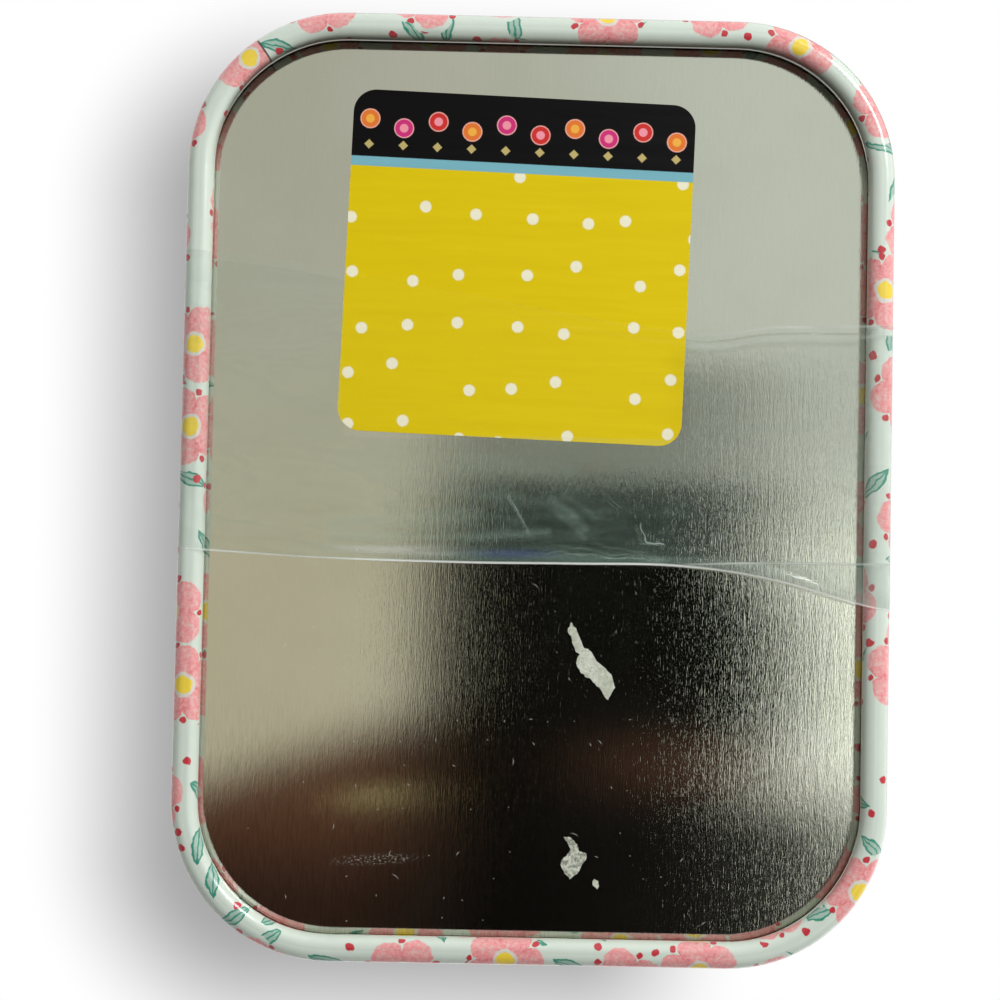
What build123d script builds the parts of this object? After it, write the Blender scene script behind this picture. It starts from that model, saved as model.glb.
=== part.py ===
from build123d import *
import math
import os

# Storage tin, millimetres, +Z up. A printed sheet-metal body with a rolled bottom seam, a bare base plate,
# and a hinged lid that closes flush with the body. X is the long side, the hinge is on the +Y side, and
# the tin stands on z = 0.

# Overall size
tin_length = 101.6
tin_width = 76.2
tin_height = 31.75
corner_radius = 17.0

# Sheets
body_sheet = 0.25
base_sheet = 0.25
lid_sheet = 0.25
label_sheet = 0.10
film_sheet = 0.03

# Sharpest folds that stand for parts of a bend: the lid's outside, hidden ones, the curl's and the tightest
lid_fold_angle = 24.0
small_fold_angle = 45.0
curl_fold_angle = 60.0
tight_fold_angle = 90.0

# Rolled bottom seam and the recessed base plate that it holds
bead_radius = 1.2
bead_flat = 0.4
bead_tuck_angle = 50.0
recess_depth = 3.2
base_bend = 0.40
seam_play = 0.03
hook_height = 2.6
panel_margin = 8.0

# Lock seam that closes the body strip, at the rear corner on the -X side
seam_angle = 144.0
seam_width = 4.0
seam_groove_width = 0.16
seam_groove_depth = 0.08

# Neck under the lid
lid_line = 23.4
line_gap = 0.30
lid_gap = 0.45
ledge_bend = 0.40
neck_bend = 0.30
top_curl_radius = 0.65
top_curl_angle = 180.0
lid_head_gap = 0.30

# Lid
lid_edge_radius = 1.6
hem_height = 1.4
hem_slack = 0.03
field_inset = 5.0
field_rise = 0.45
field_bend = 0.9

# Wire hinge
wire_diameter = 1.2
wire_play = 0.06
body_knuckle_length = 7.0
lid_knuckle_length = 11.0
body_knuckle_count = 3
knuckle_gap = 0.40
knuckle_angle = 300.0
tab_root = 1.6
slot_play = 0.30
window_height = 4.4
wire_overhang = 0.25

# Sticker on the base plate
label_side = 37.3
label_corner = 2.5
label_x = -23.9
label_y = 2.44
label_angle = 1.7

# Clear film across the base: where its two edges cross the rear and front rims
film_rear_low = 7.2
film_rear_high = -25.0
film_front_low = 12.6
film_front_high = -18.0
film_dip_y = -7.0
film_dip_x = 8.0
film_wrap = 6.0

# Places that follow from the sizes
rest_z = film_sheet
bead_width = 2 * bead_radius + bead_flat
panel_z = rest_z + recess_depth
wire_radius = wire_diameter / 2
bore_radius = wire_radius + wire_play
hem_radius = lid_sheet + hem_slack
neck_inset = 2 * hem_radius + lid_gap
hinge_y = tin_width / 2 + bore_radius
hinge_z = lid_line
lid_edge_z = lid_line + line_gap / 2
ledge_z = lid_line - line_gap / 2
lid_shoulder_z = tin_height - field_rise
neck_top_z = lid_shoulder_z - lid_sheet - lid_head_gap
knuckle_reach = 2 * bore_radius + body_sheet
centring = (film_sheet - knuckle_reach) / 2


def ahead(point, heading, length):
    """The point a given length ahead."""
    a = math.radians(heading)
    return (point[0] + length * math.cos(a), point[1] + length * math.sin(a))


def walk(start, heading, steps, offset):
    """Edges of a line of straights, bends and sharp folds, set off to the left of the way walked."""
    edges = []
    at = start
    begin = ahead(at, heading + 90, offset)
    for step, after in zip(steps, steps[1:] + [(0,)]):
        if len(step) == 1:
            fold = after[1] if len(after) == 2 and after[0] == 0 else 0
            at = ahead(at, heading, step[0])
            end = ahead(at, heading + 90 + fold / 2, offset / math.cos(math.radians(fold / 2)))
            edges.append(Line(begin, end))
        elif step[0] == 0:
            heading += step[1]
        else:
            radius, turn = step
            side = math.copysign(90, turn)
            centre = ahead(at, heading + side, radius)
            own = radius - offset * math.copysign(1, turn)
            middle = ahead(centre, heading - side + turn / 2, own)
            at = ahead(centre, heading - side + turn, radius)
            heading += turn
            end = ahead(at, heading + 90, offset)
            edges.append(ThreePointArc(begin, middle, end))
        begin = end
    return edges


def faceted(steps, widest=small_fold_angle):
    """The same line with each bend as a few sharp folds."""
    result = []

    def straight(length):
        if result and len(result[-1]) == 1:
            length += result.pop()[0]
        result.append((length,))

    for step in steps:
        if len(step) == 1:
            straight(step[0])
        elif step[0] == 0:
            result.append(step)
        else:
            radius, turn = step
            folds = math.ceil(abs(turn) / widest)
            half = radius * math.tan(math.radians(abs(turn) / folds / 2))
            for i in range(folds):
                straight(half)
                result.append((0, turn / folds))
                straight(half)
    return result


def folded(start, heading, steps, thickness, far_steps=None):
    """Section of a folded sheet: its walked face, and its other face to the left, plainer unless given."""
    near = walk(start, heading, steps, 0)
    far = walk(start, heading, far_steps or faceted(steps), thickness)
    caps = [Line(near[0] @ 0, far[0] @ 0), Line(near[-1] @ 1, far[-1] @ 1)]
    return make_face(near + far + caps)


def around(section):
    """Carries a section, drawn inward from the outer wall and up, round the tin's outline."""
    half_x = tin_length / 2 - corner_radius
    half_y = tin_width / 2 - corner_radius
    runs = [
        (-half_x, -tin_width / 2, 0, 2 * half_x),
        (tin_length / 2, -half_y, 90, 2 * half_y),
        (half_x, tin_width / 2, 180, 2 * half_x),
        (-tin_length / 2, half_y, 270, 2 * half_y),
    ]
    ring = None
    for x, y, turn, length in runs:
        along = Vector(1, 0, 0).rotate(Axis.Z, turn)
        inward = Vector(0, 1, 0).rotate(Axis.Z, turn)
        placed = Plane(origin=(x, y, 0), x_dir=inward, z_dir=along) * section
        straight = extrude(placed, amount=length, dir=along)
        centre = Vector(x, y, 0) + inward * corner_radius
        corner = revolve(placed, axis=Axis(centre, (0, 0, -1)), revolution_arc=90)
        ring = straight + corner if ring is None else ring + straight + corner
    return ring.clean()


def plate(inset, low, thickness):
    """Flat plate with the tin's outline, set in from it."""
    outline = RectangleRounded(tin_length - 2 * inset, tin_width - 2 * inset, corner_radius - inset)
    return Pos(0, 0, low) * extrude(outline, amount=thickness)


def block(x_low, x_high, y_low, y_high, z_low, z_high):
    """Box between two corners."""
    size = Box(x_high - x_low, y_high - y_low, z_high - z_low)
    return Pos((x_low + x_high) / 2, (y_low + y_high) / 2, (z_low + z_high) / 2) * size


def knuckle_spans():
    """Where the knuckles lie along X: the body's, then the lid's between them."""
    lid_count = body_knuckle_count - 1
    total = body_knuckle_count * body_knuckle_length + lid_count * lid_knuckle_length
    total += 2 * lid_count * knuckle_gap
    body, lid = [], []
    x = -total / 2
    for i in range(body_knuckle_count + lid_count):
        length = lid_knuckle_length if i % 2 else body_knuckle_length
        (lid if i % 2 else body).append((x, x + length))
        x += length + knuckle_gap
    return body, lid


def at_hinge(section, span):
    """Extrudes a section, drawn outward from the rear wall and up, over a span of X."""
    placed = Plane(origin=(span[0], tin_width / 2, 0), x_dir=(0, 1, 0), z_dir=(1, 0, 0)) * section
    return extrude(placed, amount=span[1] - span[0], dir=(1, 0, 0))


def base_plate():
    """Bare tray, whose edge is folded down, out and up again inside the rolled seam."""
    clear = body_sheet + seam_play
    start = (clear, rest_z + hook_height)
    tuck_inside = (bead_radius - body_sheet) * math.cos(math.radians(bead_tuck_angle))
    wall_u = bead_width - bead_radius + tuck_inside - seam_play
    bend = (wall_u - clear) / 2
    drop = hook_height - clear - bend
    rise = recess_depth - clear - bend - base_bend
    run = panel_margin - wall_u - base_bend
    steps = faceted([(drop,), (bend, 180), (rise,), (base_bend, -90), (run,)])
    rim = around(folded(start, -90, steps, base_sheet))
    return rim + plate(panel_margin, panel_z, base_sheet)


def body_wall():
    """Printed strip: rolled in under the base plate's edge, necked for the lid, curled at the top."""
    tuck = math.radians(bead_tuck_angle)
    centre_u = bead_width - bead_radius
    start = (centre_u + bead_radius * math.cos(tuck), rest_z + bead_radius * (1 + math.sin(tuck)))
    wall = ledge_z - ledge_bend - bead_radius - rest_z
    ledge = neck_inset - ledge_bend - neck_bend
    neck = neck_top_z - top_curl_radius - ledge_z - neck_bend
    tuck_in = faceted([(bead_radius, -bead_tuck_angle)])
    bead = [(bead_radius, -90), (bead_flat,), (bead_radius, -90)]
    step_in = faceted([(wall,), (ledge_bend, -90), (ledge,)])
    neck_up = faceted([(neck_bend, 90), (neck,)], tight_fold_angle)
    curl = faceted([(top_curl_radius, -top_curl_angle)], curl_fold_angle)
    rest = faceted(step_in + neck_up + curl)
    near = tuck_in + bead + rest
    far = faceted([(bead_radius, -90 - bead_tuck_angle)] + bead[1:]) + rest
    strip = around(folded(start, bead_tuck_angle - 90, near, -body_sheet, far))
    strip += lock_seam()
    strip -= seam_groove()
    return hinge_on_body(strip)


def rear_corner():
    """Centre of the corner that has the lock seam."""
    return Vector(-tin_length / 2 + corner_radius, tin_width / 2 - corner_radius, 0)


def lock_seam():
    """The flattened fold of the lock seam, inside the wall and below the neck."""
    turn = math.degrees(seam_width / (corner_radius - body_sheet))
    low = panel_z + base_sheet + seam_play
    fold = Plane(origin=rear_corner(), x_dir=(1, 0, 0), z_dir=(0, -1, 0)) * Pos(
        corner_radius - 2 * body_sheet, (low + ledge_z - ledge_bend) / 2, 0
    ) * Rectangle(2 * body_sheet, ledge_z - ledge_bend - low)
    arc = revolve(fold, axis=Axis(rear_corner(), (0, 0, 1)), revolution_arc=turn)
    return arc.rotate(Axis(rear_corner(), (0, 0, 1)), seam_angle - turn)


def seam_groove():
    """The hairline that the lock seam leaves outside, across the wall and the rolled bead."""
    over = seam_groove_width
    inner = corner_radius - bead_width - over
    outer = corner_radius + over
    hairline = block(inner, outer, -seam_groove_width / 2, seam_groove_width / 2, -over, ledge_z)
    bend = bead_radius + over
    steps = [(bend, -90), (bead_flat,), (bend, -90), (lid_line,)]
    start = (bead_width + over, rest_z + bead_radius)
    skin = around(folded(start, -90, steps, -seam_groove_depth - over, steps))
    placed = Pos(rear_corner()) * Rot(0, 0, seam_angle) * hairline
    return skin & placed


def hinge_on_body(strip):
    """Tabs lanced from the neck and curled round the wire, and slots for the lid's knuckles."""
    body_spans, lid_spans = knuckle_spans()
    rear = tin_width / 2
    under = ledge_z - ledge_bend
    tab_low = under - tab_root
    for low, high in body_spans:
        strip -= block(low, high, rear - 2 * neck_inset, rear - body_sheet, under, under + window_height)
        tab = folded((0, tab_low), 90, [(hinge_z - tab_low,), (bore_radius, -knuckle_angle)], body_sheet)
        strip += at_hinge(tab, (low, high))
    slot_low = hinge_z - bore_radius - lid_sheet - slot_play
    for low, high in lid_spans:
        strip -= block(
            low - knuckle_gap,
            high + knuckle_gap,
            rear - lid_sheet - slot_play,
            rear + 1,
            slot_low,
            hinge_z,
        )
    return strip


def lid():
    """Pressed lid: hemmed skirt, rounded edge, and a field raised a little above its border."""
    rise_turn = math.degrees(math.acos(1 - field_rise / (2 * field_bend)))
    rise_run = 2 * field_bend * math.sin(math.radians(rise_turn))
    skirt = lid_shoulder_z - lid_edge_radius - lid_edge_z - hem_radius
    hem = faceted([(hem_height - hem_radius,), (hem_radius, -180), (skirt,)], tight_fold_angle)
    border = [(lid_edge_radius, -90), (field_inset - lid_edge_radius,)]
    field = [(field_bend, rise_turn), (field_bend, -rise_turn), (panel_margin - field_inset - rise_run,)]
    start = (2 * hem_radius, lid_edge_z + hem_height)
    near = hem + faceted(border + field, lid_fold_angle)
    far = hem + faceted(border + field)
    shell = around(folded(start, -90, near, -lid_sheet, far))
    shell += plate(panel_margin, tin_height - lid_sheet, lid_sheet)
    return hinge_on_lid(shell)


def hinge_on_lid(shell):
    """Curled tabs at the skirt's lower edge, and notches over the body's knuckles."""
    body_spans, lid_spans = knuckle_spans()
    rear = tin_width / 2
    deep = rear - neck_inset
    hem_top = lid_edge_z + hem_height
    hem_low_x = body_spans[0][0] - knuckle_gap
    hem_high_x = body_spans[-1][1] + knuckle_gap
    shell -= block(hem_low_x, hem_high_x, deep, rear - lid_sheet, ledge_z, hem_top)
    notch_top = hinge_z + bore_radius + body_sheet + slot_play
    for low, high in body_spans:
        shell -= block(low - knuckle_gap, high + knuckle_gap, deep, rear + 1, ledge_z, notch_top)
    for low, high in lid_spans:
        tab_top = lid_edge_z + tab_root
        tab = folded((0, tab_top), -90, [(tab_top - hinge_z,), (bore_radius, knuckle_angle)], -lid_sheet)
        shell += at_hinge(tab, (low, high))
    return shell


def hinge_pin():
    """Straight steel wire through all the knuckles."""
    body_spans, lid_spans = knuckle_spans()
    length = body_spans[-1][1] - body_spans[0][0] + 2 * wire_overhang
    return Pos(0, hinge_y, hinge_z) * Rot(0, 90, 0) * Cylinder(wire_radius, length)


def label():
    """Square sticker with rounded corners, on the outside of the base plate."""
    sticker = extrude(RectangleRounded(label_side, label_side, label_corner), amount=label_sheet)
    return Pos(label_x, label_y, panel_z - label_sheet) * Rot(0, 0, label_angle) * sticker


def film_block(grow):
    """The tin's lower half as a solid block, grown on its underside and walls."""
    outline = RectangleRounded(tin_length + 2 * grow, tin_width + 2 * grow, corner_radius + grow)
    solid = Pos(0, 0, rest_z - grow) * extrude(outline, amount=2 * film_wrap)
    return fillet(solid.edges().group_by(Axis.Z)[0], bead_radius + grow)


def clear_film():
    """Thin clear film, taut across the recess from rim to rim and clinging to both side walls."""
    past = 2.0
    rear = tin_width / 2
    slope_high = (film_front_high - film_rear_high) / tin_width
    outline = Polyline(
        (film_rear_high - past * slope_high, rear + past),
        (film_rear_low, rear + past),
        (film_rear_low, rear),
        (film_dip_x, film_dip_y),
        (film_front_low, -rear),
        (film_front_low, -rear - past),
        (film_front_high + past * slope_high, -rear - past),
        close=True,
    )
    band = extrude(make_face(outline), amount=film_wrap)
    return (film_block(film_sheet) - film_block(0)) & band


parts = {
    "body_wall": body_wall,
    "base_plate": base_plate,
    "lid": lid,
    "hinge_pin": hinge_pin,
    "label": label,
    "clear_film": clear_film,
}

# The pieces are drawn about the middle of the tin's own outline. The finished part is centred on its whole
# footprint, which the knuckles make a little deeper at the rear.
os.makedirs("parts", exist_ok=True)
for name, make in parts.items():
    shape = Pos(0, centring, 0) * make()
    export_step(shape, f"parts/{name}.step")
    print(name, round(shape.volume, 3), shape.is_valid, len(shape.solids()))
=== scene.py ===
# Storage tin: finishes, film, paper remnants, stage and camera. Metres, +Z up, X along the long side, the
# hinge at +Y. The camera looks up at the underside of the tin.
import math

import bpy
import numpy as np
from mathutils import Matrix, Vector
from mathutils.noise import noise_vector, seed_set


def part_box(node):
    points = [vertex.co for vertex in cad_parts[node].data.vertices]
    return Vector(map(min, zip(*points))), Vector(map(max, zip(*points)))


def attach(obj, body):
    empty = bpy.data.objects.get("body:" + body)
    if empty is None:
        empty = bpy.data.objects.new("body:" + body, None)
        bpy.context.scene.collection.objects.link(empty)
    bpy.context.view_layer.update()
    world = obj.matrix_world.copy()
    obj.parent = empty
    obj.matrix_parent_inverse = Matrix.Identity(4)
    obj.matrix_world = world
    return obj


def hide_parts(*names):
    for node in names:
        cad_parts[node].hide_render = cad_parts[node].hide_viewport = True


bl_info = {
    "name": "Storage tin",
    "version": (1, 0, 0),
    "blender": (4, 5, 0),
    "location": "3D View > Sidebar > Tin",
    "description": "Finishes and photo stage of a printed storage tin",
    "category": "Object",
}

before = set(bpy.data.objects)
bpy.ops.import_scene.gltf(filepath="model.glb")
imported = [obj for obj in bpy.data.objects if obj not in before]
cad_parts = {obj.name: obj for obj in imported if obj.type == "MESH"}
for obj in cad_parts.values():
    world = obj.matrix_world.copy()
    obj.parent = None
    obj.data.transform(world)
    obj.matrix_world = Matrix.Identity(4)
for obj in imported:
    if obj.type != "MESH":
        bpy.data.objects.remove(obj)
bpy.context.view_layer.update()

# A millimetre, in metres
MM = 0.001

# Sizes of the tin, in millimetres, as in its solids
LENGTH = 101.6
WIDTH = 76.2
CORNER = 17.0
MIDDLE_Y = -0.77
HALF_X = LENGTH / 2 - CORNER
HALF_Y = WIDTH / 2 - CORNER
BEAD = 1.2
BEAD_FLAT = 0.4
BEAD_MIDDLE_Z = 1.23
PANEL_Z = 3.23
LID_SHOULDER_Z = 31.3
SEAM_TURN = math.radians(54)
WALL_INSIDE_FROM_Z = 2.6
LID_INSIDE_FROM_Z = 25.0

# Soft shadow on the ground in the photograph: its shift down and left, and its blur, in millimetres
SHADOW_SHIFT = (5.0, 7.0, 0.0)
SHADOW_BLUR = 9.0

# Stage: heights in millimetres above and below the floor, and sizes in metres
GROUND_Z = 200.0
CARD_Z = 420.0
FLOOR_SIZE = 4.0
GROUND_SIZE = 0.3
CARD_SIZE = 0.62
KEY_SIZE = 0.16
TOP_SIZE = 1.7


def linear(red, green, blue):
    """A display colour from 0 to 255 as the linear values that shaders use."""
    result = []
    for part in (red, green, blue):
        part /= 255
        result.append(part / 12.92 if part <= 0.04045 else ((part + 0.055) / 1.055) ** 2.4)
    return tuple(result)


def colour_setting(name, text, *shown):
    """A colour among the settings, given as it is displayed."""
    return bpy.props.FloatVectorProperty(
        name=name, description=text, subtype="COLOR", size=3, min=0, max=1, default=linear(*shown),
    )


def share_setting(name, text, most, default):
    """A share among the settings, from 0 up."""
    return bpy.props.FloatProperty(
        name=name, description=text, subtype="FACTOR", min=0, max=most, default=default,
    )


def number_setting(name, text, default, least=0):
    """A plain number among the settings."""
    return bpy.props.FloatProperty(name=name, description=text, min=least, default=default)


class PrintSettings(bpy.types.PropertyGroup):
    """Colours of the printed sheet."""

    ground: colour_setting("Ground", "Ground colour of the print", 210, 220, 208)
    blossom: colour_setting("Blossom", "Colour of the petals", 232, 152, 152)
    middle: colour_setting("Middle", "Colour of the blossoms' middles", 236, 206, 62)
    leaf: colour_setting("Leaf", "Colour of the leaves", 48, 140, 118)
    berry: colour_setting("Berry", "Colour of the berries", 200, 48, 62)


class MetalSettings(bpy.types.PropertyGroup):
    """Finish of the bare tinplate."""

    colour: colour_setting("Colour", "Colour of bare tinplate", 222, 222, 213)
    roughness: share_setting("Roughness", "Blur of the reflections", 1, 0.066)
    grain: share_setting("Grain", "Depth of the rolling grain", 2, 1.0)


class StickerSettings(bpy.types.PropertyGroup):
    """Colours of the sticker."""

    ground: colour_setting("Ground", "Colour of the dotted field", 222, 197, 6)
    band: colour_setting("Band", "Colour of the band at the top", 9, 7, 8)
    stripe: colour_setting("Stripe", "Colour of the stripe under the band", 120, 178, 190)
    dot: colour_setting("Dot", "Colour of the dots", 238, 234, 205)


class FilmSettings(bpy.types.PropertyGroup):
    """Clear film across the base."""

    haze: share_setting("Haze", "How milky the film is", 1, 0.078)
    wrinkle: bpy.props.FloatProperty(
        name="Wrinkle", description="Height of the wrinkles", unit="LENGTH", min=0, default=0.00022,
    )


class StageSettings(bpy.types.PropertyGroup):
    """Camera and lamps."""

    lens: number_setting("Lens", "Focal length in millimetres", 67.70, 1)
    place: bpy.props.FloatVectorProperty(
        name="Place", description="Where the camera is", subtype="TRANSLATION", size=3,
        default=(0.00937, 0.0048, -0.200),
    )
    turn: bpy.props.FloatVectorProperty(
        name="Turn", description="The camera's rotation", subtype="EULER", size=3,
        default=(math.radians(-177.7779), math.radians(0.5479), math.radians(-91.1984)),
    )
    key: number_setting("Key", "Power of the lamp on the underside, in watts", 1.75)
    top: number_setting("Top", "Power of the first lamp above, in watts", 7.0)
    fill: number_setting("Fill", "Strength of the light from all round", 0.36)


def add(tree, kind, **settings):
    """A new node with its settings."""
    node = tree.nodes.new(kind)
    for name, value in settings.items():
        setattr(node, name, value)
    return node


def feed(tree, value, socket):
    """Links a socket or a value's socket to a socket, or sets it to a plain value."""
    if isinstance(value, Value):
        value = value.socket
    if isinstance(value, bpy.types.NodeSocket):
        tree.links.new(value, socket)
    elif socket.type == "RGBA" and len(value) == 3:
        socket.default_value = (*value, 1)
    else:
        socket.default_value = value


class Value:
    """A number or colour in a node tree, with the usual arithmetic."""

    kind = "ShaderNodeMath"

    def __init__(self, tree, socket):
        self.tree = tree
        self.socket = socket

    def step(self, operation, *values, out=0):
        """One node of arithmetic on the given values."""
        node = add(self.tree, self.kind, operation=operation)
        for value, socket in zip(values, node.inputs):
            feed(self.tree, value, socket)
        return (Value if out else type(self))(self.tree, node.outputs[out])

    def calc(self, operation, *others):
        """One step of arithmetic that starts with this value."""
        return self.step(operation, self, *others)

    def __add__(self, other):
        return self.calc("ADD", other)

    def __sub__(self, other):
        return self.calc("SUBTRACT", other)

    def __rsub__(self, other):
        return self.step("SUBTRACT", other, self)

    def __mul__(self, other):
        return self.calc("MULTIPLY", other)

    def __truediv__(self, other):
        return self.calc("DIVIDE", other)

    def __mod__(self, other):
        return self.calc("MODULO", other)

    def __pow__(self, other):
        return self.calc("POWER", other)

    def __gt__(self, other):
        return self.calc("GREATER_THAN", other)

    def __lt__(self, other):
        return self.calc("LESS_THAN", other)

    def __neg__(self):
        return self.calc("MULTIPLY", -1.0)

    def __abs__(self):
        return self.calc("ABSOLUTE")

    def clamped(self):
        """This value, kept between 0 and 1."""
        self.socket.node.use_clamp = True
        return self

    def ramp(self, low, high, start=0.0, end=1.0):
        """A soft step as this value goes from low to high."""
        node = add(self.tree, "ShaderNodeMapRange", interpolation_type="SMOOTHSTEP")
        for item, socket in zip((self, low, high, start, end), node.inputs):
            feed(self.tree, item, socket)
        return Value(self.tree, node.outputs[0])

    def mix(self, first, second):
        """Two colours mixed by this value."""
        return blend(self.tree, self, first, second)

    def bump(self, distance):
        """The normal of a surface with this height."""
        node = add(self.tree, "ShaderNodeBump")
        node.inputs["Strength"].default_value = 1.0
        node.inputs["Distance"].default_value = distance
        feed(self.tree, self, node.inputs["Height"])
        return node.outputs["Normal"]


class Place(Value):
    """A place in a node tree, in millimetres."""

    kind = "ShaderNodeVectorMath"

    def split(self):
        """Its three parts."""
        node = add(self.tree, "ShaderNodeSeparateXYZ")
        feed(self.tree, self, node.inputs[0])
        return [Value(self.tree, socket) for socket in node.outputs]

    def length(self):
        """Its distance from zero."""
        return self.step("LENGTH", self, out=1)

    def dot(self, other):
        """Its dot product with another."""
        return self.step("DOT_PRODUCT", self, other, out=1)

    def turned(self, angle):
        """This place turned about Z."""
        node = add(self.tree, "ShaderNodeVectorRotate", rotation_type="Z_AXIS")
        feed(self.tree, self, node.inputs["Vector"])
        feed(self.tree, angle, node.inputs["Angle"])
        return Place(self.tree, node.outputs["Vector"])

    def noise(self, scale, detail=2.0, roughness=0.5):
        """Noise at a scale, in features per unit of the place."""
        node = add(self.tree, "ShaderNodeTexNoise")
        feed(self.tree, self, node.inputs["Vector"])
        node.inputs["Scale"].default_value = scale
        node.inputs["Detail"].default_value = detail
        node.inputs["Roughness"].default_value = roughness
        return Value(self.tree, node.outputs["Fac"])

    def shake(self, scale):
        """Noise in all directions, round zero."""
        node = self.noise(scale).socket.node
        return Place(self.tree, node.outputs["Color"]) - (0.5, 0.5, 0.5)

    def cells(self, size, randomness):
        """Scattered points: the place from the nearest point, and its random numbers."""
        node = add(self.tree, "ShaderNodeTexVoronoi", voronoi_dimensions="2D")
        feed(self.tree, self, node.inputs["Vector"])
        node.inputs["Scale"].default_value = 1 / size
        node.inputs["Randomness"].default_value = randomness
        colour = add(self.tree, "ShaderNodeSeparateColor")
        feed(self.tree, node.outputs["Color"], colour.inputs[0])
        return self - node.outputs["Position"], [Value(self.tree, socket) for socket in colour.outputs]


def larger(value, *others):
    """The largest of some values."""
    for other in others:
        value = value.calc("MAXIMUM", other)
    return value


def smaller(value, *others):
    """The smallest of some values."""
    for other in others:
        value = value.calc("MINIMUM", other)
    return value


def combine(x, y):
    """A place from its two parts."""
    node = add(x.tree, "ShaderNodeCombineXYZ")
    feed(x.tree, x, node.inputs[0])
    feed(x.tree, y, node.inputs[1])
    return Place(x.tree, node.outputs[0])


def blend(tree, factor, first, second):
    """Two colours mixed by a factor."""
    node = add(tree, "ShaderNodeMix", data_type="RGBA")
    feed(tree, factor, node.inputs[0])
    feed(tree, first, node.inputs[6])
    feed(tree, second, node.inputs[7])
    return Value(tree, node.outputs[2])


def new_group(name, inputs, outputs):
    """A shader node group with named sockets; returns it with what comes in and what goes out."""
    group = bpy.data.node_groups.new(name, "ShaderNodeTree")
    for label, kind in inputs:
        group.interface.new_socket(name=label, in_out="INPUT", socket_type=kind)
    for label, kind in outputs:
        group.interface.new_socket(name=label, in_out="OUTPUT", socket_type=kind)
    return group, add(group, "NodeGroupInput").outputs, add(group, "NodeGroupOutput").inputs


def place_group(tree, group, **inputs):
    """A group's node in a material, with its own values; returns what it gives."""
    node = add(tree, "ShaderNodeGroup", node_tree=group)
    for label, value in inputs.items():
        feed(tree, value, node.inputs[label])
    return {socket.name: Value(tree, socket) for socket in node.outputs}


def sprig_print():
    """Scattered blossoms, leaves and berries on a pale ground, by a place in millimetres."""
    name = "sprig print"
    if name in bpy.data.node_groups:
        return bpy.data.node_groups[name]
    colours = ("Ground", "Blossom", "Middle", "Leaf", "Berry")
    inputs = [("Place", "NodeSocketVector")] + [(c, "NodeSocketColor") for c in colours]
    tree, source, sink = new_group(name, inputs, [("Color", "NodeSocketColor")])
    place = Place(tree, source["Place"])
    place = place + place.shake(0.9) * (0.7, 0.7, 0.7)
    paint = place.noise(2.2, 4.0, 0.75)
    wash = place.noise(0.5, 2.0)

    # Blossoms of five petals
    local, chance = place.cells(10.6, 0.62)
    x, y = local.split()[:2]
    away = local.length()
    turn = y.calc("ARCTAN2", x) + chance[0] * 6.28
    petal = abs((turn * 2.5).calc("COSINE")) ** 0.55
    inside = petal * 1.5 + 2.75 - away
    blossom = inside.ramp(-0.08, 0.1)
    shade = paint - petal * 0.16
    deep = blend(tree, 0.55, source["Blossom"], source["Berry"])
    pale = blend(tree, 0.45, source["Blossom"], source["Ground"])
    petals = shade.ramp(0.20, 0.40).mix(pale, source["Blossom"])
    petals = shade.ramp(0.38, 0.62).mix(petals, deep)
    rim = away.ramp(1.25, 1.4, 1.0, 0.0)
    heart = away.ramp(0.9, 1.02, 1.0, 0.0)
    petals = (rim * 0.8).mix(petals, source["Ground"])
    petals = heart.mix(petals, source["Middle"])

    # Dots in the gaps between the petals
    gap = (turn * (2.5 / math.pi)).calc("FRACT") - 0.5
    aside = gap * (0.4 * math.pi * 3.75)
    off = combine(aside, away - 3.75).length()
    dot = off.ramp(0.30, 0.42, 1.0, 0.0)

    # Leaves between them
    local, chance = (place + (37.3, 11.9, 0)).cells(5.4, 0.9)
    u, v = local.turned(chance[1] * 6.28).split()[:2]
    within = (1.0 - u * u * 0.17) * 0.82 - abs(v)
    leaf = within.ramp(0.0, 0.1) * (chance[0] > 0.30) * inside.ramp(-0.75, -0.6, 1.0, 0.0)
    rib = abs(v).ramp(0.05, 0.13, 1.0, 0.0)
    core = within.ramp(0.22, 0.34) * (1.0 - rib)
    green = blend(tree, 0.62, source["Leaf"], source["Ground"])
    leaf_colour = (core * 0.85).mix(source["Leaf"], green)

    # Berries
    local, chance = (place + (5.1, 71.7, 0)).cells(2.9, 0.8)
    berry = local.length().ramp(0.40, 0.52, 1.0, 0.0) * (chance[2] > 0.62)
    berry = berry * inside.ramp(-0.5, -0.4, 1.0, 0.0)

    ground = (wash * 0.07).mix(source["Ground"], source["Leaf"])
    colour = leaf.mix(ground, leaf_colour)
    berries = (paint * 0.4).mix(source["Berry"], (0.30, 0.01, 0.02))
    colour = berry.mix(colour, berries)
    colour = blossom.mix(colour, petals)
    colour = dot.mix(colour, berries)
    feed(tree, colour, sink["Color"])
    return tree


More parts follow.
